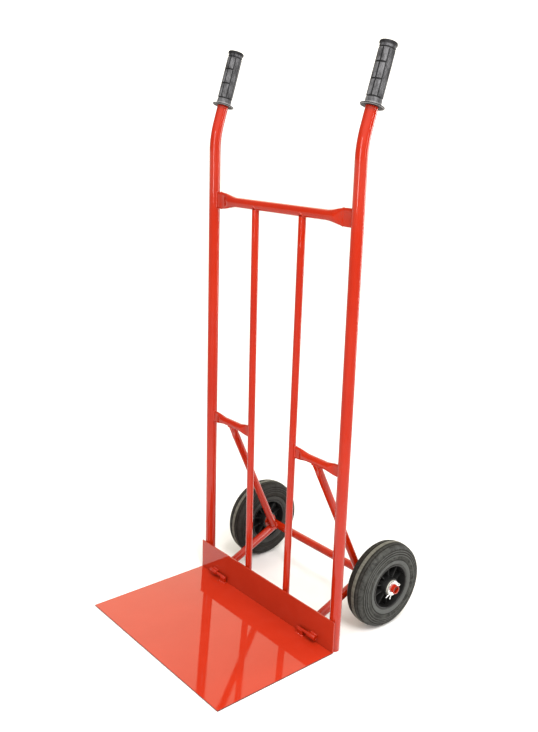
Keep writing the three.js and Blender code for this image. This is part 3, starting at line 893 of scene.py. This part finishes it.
def make_hinge(word, side):
    """A rod, welded to the toe plate through a lug, turns in a sleeve on the back plate.

    Beads run along the sleeve's top, round the lug's foot and between the lug and its rod.
    """
    centre = (0, HINGE.y, HINGE.z)
    rod_radius = extent("right_hinge_rod").y / 2
    low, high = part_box(f"{word}_hinge_sleeve")
    radius = (high.z - low.z) / 2
    top = HINGE.z + radius * 0.72
    on_sleeve = [(x, PLATE_FRONT_Y - 1 * MM, top) for x in (low.x + 1.5 * MM, high.x - 1.5 * MM)]
    outline = turned_outline(low.x, high.x, radius, rod_radius + 0.3 * MM, 0.8 * MM)
    sleeve = revolve(f"{word}_hinge_sleeve_turned", outline, 40, centre)
    fit_out(sleeve, PAINT, "frame", f"{word}_hinge_sleeve")
    low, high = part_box(f"{word}_hinge_rod")
    outline = turned_outline(low.x, high.x, rod_radius, 0.1 * MM, 0.9 * MM)
    rod = revolve(f"{word}_hinge_rod_turned", outline, 32, centre)
    fit_out(rod, PAINT, "toe_plate", f"{word}_hinge_rod")
    low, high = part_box(f"{word}_hinge_lug")
    high.z = HINGE.z
    lug = bevelled_box(f"{word}_hinge_lug_block", low, high, 0.8 * MM)
    fit_out(lug, PAINT, "toe_plate", f"{word}_hinge_lug")
    weld(f"{word}_hinge_sleeve_weld", on_sleeve, 4.6 * MM, 101 + side)
    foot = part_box("toe_plate")[1].z + 0.8 * MM
    corners = [
        (high.x + 0.8 * MM, high.y - 1 * MM, foot),
        (high.x + 0.8 * MM, low.y - 0.8 * MM, foot),
        (low.x - 0.8 * MM, low.y - 0.8 * MM, foot),
        (low.x - 0.8 * MM, high.y - 1 * MM, foot),
    ]
    weld(f"{word}_hinge_lug_foot_weld", corners, 4.6 * MM, 111 + side, body="toe_plate")
    y, z = HINGE.y - rod_radius * 0.98, HINGE.z - 1.2 * MM
    points = [(low.x + 1 * MM, y, z), (high.x - 1 * MM, y, z)]
    weld(f"{word}_hinge_rod_weld", points, 2.6 * MM, 116 + side, body="toe_plate")


# ---------- grips ----------

GRIP_LENGTH = 121 * MM
GRIP_RADIUS = 16 * MM
GRIP_END_WALL = 3 * MM
GRIP_SIDES = 160
PANEL_ROWS = ((0.145, 0.390), (0.410, 0.650), (0.670, 0.885))
PANEL_COLUMNS = 8
PANEL_TURN = math.radians(16.5)


def grip_shape(along, angle):
    """(radius, sunk channel and painted shade weight, rub and painted highlight weight) at a share
    along the grip and an angle round it.

    Pairs of short panels alternate with pairs of long ones that carry fine slanting ridges.
    """
    gap, depth, ridge, pitch = 0.8 * MM, 1.0 * MM, 0.35 * MM, 4.2 * MM
    column = (angle - PANEL_TURN) / TURN * PANEL_COLUMNS % PANEL_COLUMNS
    across = column % 1
    side_gap = min(across, 1 - across) * TURN * GRIP_RADIUS / PANEL_COLUMNS
    is_short = int(column) % 4 in (1, 2)
    rows = PANEL_ROWS if is_short else ((PANEL_ROWS[0][0], PANEL_ROWS[-1][1]),)
    panel = 0.0
    for low, high in rows:
        row_gap = min(along - low, high - along) * GRIP_LENGTH
        panel = max(panel, float(smoothstep(0.0, 0.7 * MM, min(row_gap, side_gap - gap))))
    rows_low, rows_high = PANEL_ROWS[0][0] - 0.022, PANEL_ROWS[-1][1] + 0.02
    fade = 0.008
    rising = smoothstep(rows_low, rows_low + fade, along)
    falling = 1 - smoothstep(rows_high - fade, rows_high, along)
    in_rows = float(rising * falling)
    # The channels between the panels are sunk and get painted shade.
    groove_shade = in_rows * (1 - panel)
    radius = GRIP_RADIUS - depth * groove_shade
    if not is_short:
        wave = math.sin(TURN * (along * GRIP_LENGTH + angle * GRIP_RADIUS) / pitch)
        radius += ridge * panel * in_rows * wave
        # The troughs between the slanting ridges get painted shade too.
        groove_shade = max(groove_shade, 0.85 * panel * in_rows * max(0.0, -wave))
    # Lighter where hands rub the panels.
    wear_and_highlight = panel * in_rows * (0.18 if int(column) % 4 == 2 else 0.14)
    # A painted highlight on the plain stretch below the panels.
    highlight_below_rows = 0.2
    return radius, groove_shade, highlight_below_rows if along < rows_low else wear_and_highlight


def grip_outline():
    """(height, radius or None, painted shade weight, rub and painted highlight weight) from the bore
    at the flange up to the closed end.

    None leaves the rest to grip_shape().
    """
    bore = RAIL_RADIUS + 0.3 * MM
    # The flange's top and inner underside get painted shade; its outer underside and the collar
    # above it a painted highlight.
    flange = [
        (0.0, 15.5, 0.9, 0.0),
        (0.5, 20.0, 0.8, 0.0),
        (0.1, 21.4, 0.1, 0.6),
        (0.0, 22.6, 0.0, 1.0),
        (0.2, 23.5, 0.0, 1.0),
        (1.2, 24.0, 0.9, 0.0),
        (2.6, 23.6, 0.9, 0.0),
        (3.0, 22.4, 0.9, 0.0),
        (2.6, 20.6, 0.9, 0.0),
        (2.9, 18.6, 0.8, 0.0),
        (3.9, 17.1, 0.0, 0.9),
        (5.6, 16.3, 0.0, 1.0),
        (6.6, 16.0, 0.0, 0.5),
    ]
    # The lip's sides and the dished end get painted shade, the lip's top a painted highlight.
    lip = [
        (113.6, 16.1, 0.3, 0.0),
        (115.0, 17.0, 0.8, 0.0),
        (115.9, 17.6, 0.9, 0.0),
        (118.4, 17.6, 0.9, 0.0),
        (119.7, 17.1, 0.6, 0.0),
        (120.6, 16.2, 0.0, 0.6),
        (121.0, 14.8, 0.0, 0.9),
        (120.8, 12.6, 0.2, 0.3),
        (119.6, 11.6, 0.9, 0.0),
        (119.3, 8.0, 0.9, 0.0),
        (119.3, 2.0, 0.9, 0.0),
    ]
    body = [(z * MM, None, 0.0, 0.0) for z in np.arange(8.0, 113.1, 0.42)]
    end = GRIP_LENGTH - GRIP_END_WALL
    # The inside of the closed end gets painted shade.
    inside = [(end, 2.0 * MM, 1.0, 0.0), (end, bore, 1.0, 0.0)]

    def in_metres(rows):
        return [(height * MM, radius * MM, groove_shade, wear_and_highlight) for height, radius, groove_shade, wear_and_highlight in rows]

    return [(0.0, bore, 0.5, 0.0)] + in_metres(flange) + body + in_metres(lip) + inside


def make_grip(word, side):
    angles = around(GRIP_SIDES)
    rings, groove_shades, wear_and_highlights = [], [], []
    for height, fixed_radius, fixed_groove_shade, fixed_wear_and_highlight in grip_outline():
        ring = np.zeros((GRIP_SIDES, 3))
        for j, angle in enumerate(angles):
            radius, groove_shade, wear_and_highlight = fixed_radius, fixed_groove_shade, fixed_wear_and_highlight
            if fixed_radius is None:
                radius, groove_shade, wear_and_highlight = grip_shape(height / GRIP_LENGTH, angle)
            ring[j] = (radius * math.cos(angle), radius * math.sin(angle), height)
            groove_shades.append(groove_shade)
            wear_and_highlights.append(wear_and_highlight)
        rings.append(ring)
    grip = loft(f"{word}_grip_moulded", rings, True, 50)
    weigh(grip, "groove_shade", groove_shades)
    weigh(grip, "wear_and_highlight", wear_and_highlights)
    rail_end, _, _ = rail_place(side)(RAIL_LENGTH)
    start = rail_end + HANDLE_DIRECTION * (0.3 * MM - GRIP_LENGTH + GRIP_END_WALL)
    tilt = Matrix.Rotation(-HANDLE_ANGLE, 4, "X")
    grip.data.transform(Matrix.Translation(start) @ tilt)
    fit_out(grip, GRIP, "frame", f"{word}_handle_grip")


# ---------- wheels ----------

RIM_RADIUS = extent("right_wheel_rim").z / 2
RIM_HALF_WIDTH = 24.5 * MM
HUB_HALF_LENGTH = extent("right_wheel_rim").x / 2
HUB_RADIUS = 21 * MM
TYRE_HALF_WIDTH = extent("right_tyre").x / 2
RIB_COUNT = 10


def tyre_half_outline():
    """(distance from the mid plane, radius, crown highlight, painted shade, paler rubber and
    highlight) from the seat to the crown.
    """
    # Each row: mm in from the tyre's face, mm out from its seat, and the three weights.
    # Paler rubber on the seat ring, then painted shade in the recess beyond it.
    near_seat = [
        (6.0, 0.0, 0, 0, 0),
        (3.4, 0.0, 0, 0, 1),
        (2.4, 0.8, 0, 0, 1),
        (1.6, 2.6, 0, 0, 1),
        (1.0, 6.0, 0, 0, 1),
        (0.9, 9.2, 0, 0, 1),
        (1.2, 10.2, 0, 0, 0.6),
        (2.6, 10.9, 0, 1, 0),
        (2.4, 11.7, 0, 0.8, 0),
        (0.9, 12.6, 0, 0, 0.2),
        (0.1, 16.0, 0, 0, 0.05),
    ]
    # The same from here on, but with mm in from the crown.
    near_crown = [(0.0, 26.0, 0, 0, 0)]
    # Each sidewall ring: a painted highlight on its edge, then painted shade in the recess behind
    # it.
    for inward, drop in ((0.1, 24.4), (0.9, 19.4), (2.0, 14.4)):
        near_crown += [
            (inward, drop, 0, 0, 0.7),
            (inward + 0.3, drop - 1.5, 0, 0, 0.6),
            (inward + 1.5, drop - 2.2, 0, 1, 0),
            (inward + 1.4, drop - 3.4, 0, 1, 0),
            (inward + 0.8, drop - 4.0, 0, 0.2, 0),
        ]
    # The shoulder gets a little painted highlight, the recesses in the tread painted shade, and the
    # raised rib at the crown a painted highlight.
    near_crown += [
        (3.2, 10.0, 0, 0, 0.15),
        (5.4, 6.4, 0, 0, 0.3),
        (8.4, 4.0, 0, 0, 0.2),
        (12.0, 2.6, 0, 0.1, 0.1),
        (13.0, 3.6, 0, 0.9, 0),
        (14.0, 3.4, 0, 0.9, 0),
        (14.8, 1.6, 0, 0.3, 0.1),
        (19.4, 0.7, 0, 0.6, 0.1),
        (20.2, 2.4, 0, 1, 0),
        (22.0, 2.4, 0, 1, 0),
        (22.8, 0.4, 1, 0.2, 0),
        (24.0, 0.0, 1, 0, 0),
    ]
    face, seat = TYRE_HALF_WIDTH, RIM_RADIUS + 0.3 * MM
    rows = [(face - a * MM, seat + rise * MM, *weights) for a, rise, *weights in near_seat]
    rows += [(face - a * MM, WHEEL_RADIUS - b * MM, *weights) for a, b, *weights in near_crown]
    return rows


def make_tyre(word, side):
    """Its inner half gets painted shade and less of the paler rubber, apart from the painted
    highlight along the crown.
    """
    half = tyre_half_outline()
    whole = half + [(-a, *rest) for a, *rest in reversed(half)]
    sides = 180
    outline = [(row[0], row[1]) for row in whole]
    centre = (side * WHEEL_X, AXLE.y, AXLE.z)
    tyre = revolve(f"{word}_tyre_moulded", outline, sides, centre, sharp_degrees=46)
    marks = np.random.default_rng(7).uniform(0.55, 1.0, sides)
    evenly = np.ones(sides)
    inner = np.array([side * row[0] < 0 and row[2] == 0 for row in whole])
    crown_highlight, tyre_shade, pale = (np.array([row[k] for row in whole], float) for k in (2, 3, 4))
    # Painted shade over the inner half, which faces the frame.
    tyre_shade[inner] = np.maximum(tyre_shade[inner], 0.95)
    pale[inner] *= 0.4
    weigh(tyre, "crown_highlight", np.outer(crown_highlight, marks).ravel())
    weigh(tyre, "tyre_shade", np.outer(tyre_shade, evenly).ravel())
    weigh(tyre, "bead", np.outer(pale, evenly).ravel())
    fit_out(tyre, TYRE, f"{word}_wheel", f"{word}_tyre")


def rim_half_outline():
    web = 3 * MM
    bore = 14.3 * MM
    lip = RIM_RADIUS - 4.5 * MM
    return [
        (HUB_HALF_LENGTH - 0.6 * MM, bore),
        (HUB_HALF_LENGTH, bore + 0.6 * MM),
        (HUB_HALF_LENGTH, HUB_RADIUS - 1.2 * MM),
        (HUB_HALF_LENGTH - 0.4 * MM, HUB_RADIUS - 0.4 * MM),
        (HUB_HALF_LENGTH - 1.3 * MM, HUB_RADIUS),
        (web + 2.5 * MM, HUB_RADIUS + 0.6 * MM),
        (web + 0.6 * MM, HUB_RADIUS + 1.4 * MM),
        (web, HUB_RADIUS + 3.4 * MM),
        (web, lip - 3.6 * MM),
        (web + 0.7 * MM, lip - 1.6 * MM),
        (web + 2.6 * MM, lip - 0.8 * MM),
        (RIM_HALF_WIDTH - 1.6 * MM, lip),
        (RIM_HALF_WIDTH - 0.5 * MM, lip + 0.5 * MM),
        (RIM_HALF_WIDTH, lip + 1.4 * MM),
        (RIM_HALF_WIDTH, RIM_RADIUS - 1.4 * MM),
        (RIM_HALF_WIDTH - 0.4 * MM, RIM_RADIUS - 0.4 * MM),
        (RIM_HALF_WIDTH - 1.4 * MM, RIM_RADIUS),
    ]


def make_rim(word, side):
    half = rim_half_outline()
    outline = half + [(-a, r) for a, r in reversed(half)]
    centre = Vector((side * WHEEL_X, AXLE.y, AXLE.z))
    body = f"{word}_wheel"
    disc = revolve(f"{word}_rim_moulded", outline, 96, centre)
    fit_out(disc, PLASTIC, body, f"{word}_wheel_rim")
    for face in (-1, 1):
        face_word = "in" if face * side < 0 else "out"
        for index in range(RIB_COUNT):
            rib = make_rib(f"{word}_rim_rib_{face_word}_{index + 1}", face, index, centre)
            fit_out(rib, PLASTIC, body)


def make_rib(name, face, index, centre):
    """A tapered rib on the web: tall at the hub, lower at the rim, with a rounded crest."""
    inner, outer = HUB_RADIUS - 1 * MM, RIM_RADIUS - 4.2 * MM
    foot = 2.4 * MM
    rings = []
    for share in np.arange(13) / 12:
        radius = inner + (outer - inner) * share
        crest = HUB_HALF_LENGTH - (9.5 + 3.5 * share) * MM
        half = (1.15 - 0.25 * share) * MM
        profile = [
            (foot, -half * 1.5),
            (foot + 1.2 * MM, -half),
            (crest - 0.8 * MM, -half * 0.78),
            (crest - 0.2 * MM, -half * 0.5),
            (crest, 0.0),
            (crest - 0.2 * MM, half * 0.5),
            (crest - 0.8 * MM, half * 0.78),
            (foot + 1.2 * MM, half),
            (foot, half * 1.5),
        ]
        rings.append([(face * a, across, radius) for a, across in profile])
    rib = loft(name, rings, False, 45)
    turn = Matrix.Rotation(TURN * index / RIB_COUNT, 4, "X")
    rib.data.transform(Matrix.Translation(centre) @ turn)
    return rib


def make_hub_fittings(word, side):
    """Bushes turn with the wheel. Washers and the split pin stay on the axle."""
    centre = (0, AXLE.y, AXLE.z)
    bore = AXLE_RADIUS + 0.3 * MM
    body_radius, flange_radius, flange_thickness = 14 * MM, 17.5 * MM, 2 * MM
    for place_word in ("outer", "inner"):
        is_outer = place_word == "outer"
        node = f"{word}_wheel_{place_word}_bush"
        low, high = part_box(node)
        sign = side if is_outer else -side
        face, far = (high.x, low.x) if sign > 0 else (low.x, high.x)
        outline = [
            (far, bore),
            (face - sign * 0.4 * MM, bore),
            (face, bore + 0.4 * MM),
            (face, flange_radius - 0.6 * MM),
            (face - sign * 0.6 * MM, flange_radius),
            (face - sign * flange_thickness, flange_radius),
            (face - sign * flange_thickness, body_radius),
            (far, body_radius),
        ]
        bush = revolve(f"{node}_turned", outline, 48, centre)
        # The inner bush, between the wheel and the frame, is painted near black: painted shade.
        weigh(bush, "painted_inner_shade", np.full(len(bush.data.vertices), 0.0 if is_outer else 0.9))
        fit_out(bush, NYLON, f"{word}_wheel", node)
        node = f"{word}_{place_word}_washer"
        low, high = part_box(node)
        radius = (high.z - low.z) / 2
        edge = 0.5 * MM
        outline = [
            (low.x, bore + edge),
            (low.x, radius - edge),
            (low.x + edge, radius),
            (high.x - edge, radius),
            (high.x, radius - edge),
            (high.x, bore + edge),
            (high.x - edge, bore),
            (low.x + edge, bore),
        ]
        washer = revolve(f"{node}_ring", outline, 64, centre)
        fit_out(washer, ZINC if is_outer else PAINT, "frame", node)
    make_split_pin(word, side)


def make_split_pin(word, side):
    """One doubled wire: two legs through the axle, bent apart below it, and an eye above it."""
    wire = 1.05 * MM  # its radius
    half_gap = wire + 0.1 * MM
    eye_radius = 2.6 * MM
    neck = AXLE_RADIUS + 1 * MM
    eye_centre = neck + eye_radius + 1 * MM
    leg = [(7.5, -17.0), (5.3, -12.6), (3.0, -8.0), (1.7, -5.0)]
    right = [(x * MM, -AXLE_RADIUS + z * MM) for x, z in leg]
    right += [(half_gap, -AXLE_RADIUS - 2.5 * MM), (half_gap, 0.0), (half_gap, neck)]
    eye = []
    for i in range(9):
        angle = math.radians(-50 + 280 * i / 8)
        eye.append((eye_radius * math.cos(angle), eye_centre + eye_radius * math.sin(angle)))
    left = [(-half_gap, neck), (-half_gap, 0.0), (-half_gap, -AXLE_RADIUS - 2.5 * MM)]
    left += [(-1.5 * MM, -AXLE_RADIUS - 8 * MM), (-2.5 * MM, -AXLE_RADIUS - 19 * MM)]
    points = [(side * x, z) for x, z in right + eye + left]
    pin_x = side * (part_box("right_split_pin")[0].x + eye_radius + wire)
    line = catmull([Vector((x, 0, z)) for x, z in points], 6)
    rings = []
    sides = 12
    for i, spot in enumerate(line):
        ahead = line[min(i + 1, len(line) - 1)] - line[max(i - 1, 0)]
        ahead.normalize()
        first = Vector((0, 1, 0))
        second = ahead.cross(first)
        radius = wire * (0.6 if i in (0, len(line) - 1) else 1.0)
        ring = [first * math.cos(angle) + second * math.sin(angle) for angle in around(sides)]
        rings.append([tuple(spot + offset * radius) for offset in ring])
    pin = loft(f"{word}_split_pin_wire", rings, False, 60)
    # The wire inside the axle's bore gets painted shade.
    inside = [float(abs(spot.z) < AXLE_RADIUS - 1 * MM) for spot in line]
    weigh(pin, "painted_bore_shade", np.repeat(inside, sides))
    tilt = Matrix.Rotation(math.radians(30) - math.pi / 2, 4, "X")
    pin.data.transform(Matrix.Translation((pin_x, AXLE.y, AXLE.z)) @ tilt)
    fit_out(pin, ZINC, "frame", f"{word}_split_pin")


def catmull(points, steps):
    """A smooth line through points, with steps to each span."""
    line = []
    padded = [points[0] * 2 - points[1]] + points + [points[-1] * 2 - points[-2]]
    for k in range(1, len(padded) - 2):
        p0, p1, p2, p3 = padded[k - 1 : k + 3]
        for i in range(steps):
            t = i / steps
            spot = p1 * 2 + (p2 - p0) * t + (p0 * 2 - p1 * 5 + p2 * 4 - p3) * t**2
            line.append((spot + (p1 * 3 - p0 - p2 * 3 + p3) * t**3) / 2)
    line.append(points[-1].copy())
    return line


# ---------- rail welds at the plate ----------


def make_rail_foot_weld(word, side):
    """Behind the back plate, a bead up each rail's inner flank."""
    y = PLATE_FRONT_Y + PLATE_THICKNESS + 0.9 * MM
    x = side * (RAIL_X - 6.2 * MM)
    points = [(x, y, BACK_FOOT_Z + 6 * MM), (x, y, BACK_TOP_Z - 3 * MM)]
    weld(f"{word}_rail_foot_weld", points, 4.0 * MM, 121 + side)


make_top_tube()
make_axle()
make_plates()
for side_word, side_sign in SIDES.items():
    make_rail(side_word, side_sign)
    make_grip(side_word, side_sign)
    make_inner_bar(side_word, side_sign)
    make_short_tube(side_word, side_sign)
    make_upper_strut(side_word, side_sign)
    make_lower_strut(side_word, side_sign)
    make_rail_foot_weld(side_word, side_sign)
    make_hinge(side_word, side_sign)
    make_tyre(side_word, side_sign)
    make_rim(side_word, side_sign)
    make_hub_fittings(side_word, side_sign)


# ---------- studio ----------

CAMERA_PLACE = Vector((1.36626, -1.15249, 1.09386))
AZIMUTH = math.radians(49.460)  # the camera looks this far round from +Y towards -X
ELEVATION = math.radians(15.590)  # and this far down
ROLL = math.radians(1.737)
LENS, SENSOR_HEIGHT = 42.02, 36  # mm
SURROUNDINGS = (0.42, 0.39, 0.35)
# Glows on the surroundings: degrees to the left of straight behind the truck, degrees up, how
# closely a direction must agree for the glow to begin and to be full, and its colour.
GLOWS = (
    (0, 2, 0.86, 0.95, (0.85, 0.85, 0.90)),
    (0, 32, 0.80, 0.95, (0.85, 0.80, 0.52)),
    (20, 28, 0.92, 0.99, (0.9, 0.85, 0.66)),
    (180, 60, 0.3, 0.9, (1.42, 1.40, 1.32)),
)

# Each light's place, the point it faces, its width and height, and its power in watts.
LIGHTS = {
    "softbox": ((2.15, -0.72, 3.00), (0, 0, 0.50), (1.1, 1.5), 88),
    "front_strip": ((1.20, -2.90, 1.35), (0, 0, 1.00), (0.28, 1.4), 32),
    "side_strip": ((2.45, 0.85, 1.45), (0, 0, 1.05), (0.10, 0.9), 5),
    "rear_strip": ((0.95, 2.45, 0.75), (0, 0, 0.80), (0.4, 1.5), 26),
}


def direction(azimuth, elevation):
    """A unit vector that is azimuth round from +Y towards -X, and elevation up."""
    across = math.cos(elevation)
    return Vector((-math.sin(azimuth) * across, math.cos(azimuth) * across, math.sin(elevation)))


def make_floor():
    size = 60.0
    mesh = bpy.data.meshes.new("studio_floor")
    corners = [(-size, -size, 0), (size, -size, 0), (size, size, 0), (-size, size, 0)]
    mesh.from_pydata(corners, [], [(0, 1, 2, 3)])
    floor = add_object("studio_floor", mesh)
    floor.location.z = -0.2 * MM
    n = material_nodes("studio_floor")
    distance = n.vector_maths("LENGTH", {0: n.coordinates}, "Value")
    mottle = n.ramp(n.noise(3.0, 3.0), 0.3, 0.7)
    near = n.mix(mottle, colour(0.805, 0.795, 0.790), colour(0.825, 0.815, 0.810))
    # The floor is darker near the truck and paler from 1.2 m out: the paler far floor is painted
    # light that keeps it white where the lamps reach less.
    paper = n.mix(n.ramp(distance, 1.2, 3.2), near, colour(0.95, 0.95, 0.94))
    material = n.finish(Base_Color=paper, Roughness=0.8, Specular_IOR_Level=0.0)
    floor.data.materials.append(material)


def make_world():
    """Soft white: bright behind the truck and high in front of it, dimmer at the sides."""
    world = bpy.data.worlds.new("studio")
    bpy.context.scene.world = world
    n = Nodes(world, "Generated")
    total = SURROUNDINGS
    for turn, height, low, high, tint in GLOWS:
        centre = direction(AZIMUTH + math.radians(turn), math.radians(height))
        agreement = n.vector_maths("DOT_PRODUCT", {0: n.coordinates, 1: centre}, "Value")
        values = {"Value": agreement, "From Min": low, "From Max": high}
        share = n.put("ShaderNodeMapRange", values, interpolation_type="SMOOTHSTEP")
        glow = n.vector_maths("SCALE", {0: tint, "Scale": share.outputs["Result"]})
        total = n.vector_maths("ADD", {0: total, 1: glow})
    n.join(total, n.tree.nodes["Background"].inputs["Color"])


def make_light(name, place, target, size, power):
    data = bpy.data.lights.new(name, "AREA")
    data.shape = "RECTANGLE"
    data.size, data.size_y = size
    data.energy = power
    light = add_object(name, data)
    light.location = place
    light.rotation_euler = (Vector(target) - Vector(place)).to_track_quat("-Z", "Y").to_euler()


def make_camera():
    """The camera stands in front and to the right, looking a little down, with a slight roll."""
    data = bpy.data.cameras.new("camera")
    data.sensor_fit = "VERTICAL"
    data.sensor_height = SENSOR_HEIGHT
    data.lens = LENS
    data.clip_end = 200
    level = Vector((math.cos(AZIMUTH), math.sin(AZIMUTH), 0))
    ahead = direction(AZIMUTH, -ELEVATION)
    above = level.cross(ahead)
    right = level * math.cos(ROLL) + above * math.sin(ROLL)
    up = above * math.cos(ROLL) - level * math.sin(ROLL)
    camera = add_object("camera", data)
    turn = Matrix((right, up, -ahead)).transposed().to_4x4()
    camera.matrix_world = Matrix.Translation(CAMERA_PLACE) @ turn
    bpy.context.scene.camera = camera


make_floor()
make_world()
for light_name, light_settings in LIGHTS.items():
    make_light(light_name, *light_settings)
make_camera()
bpy.context.scene.view_settings.view_transform = "Standard"
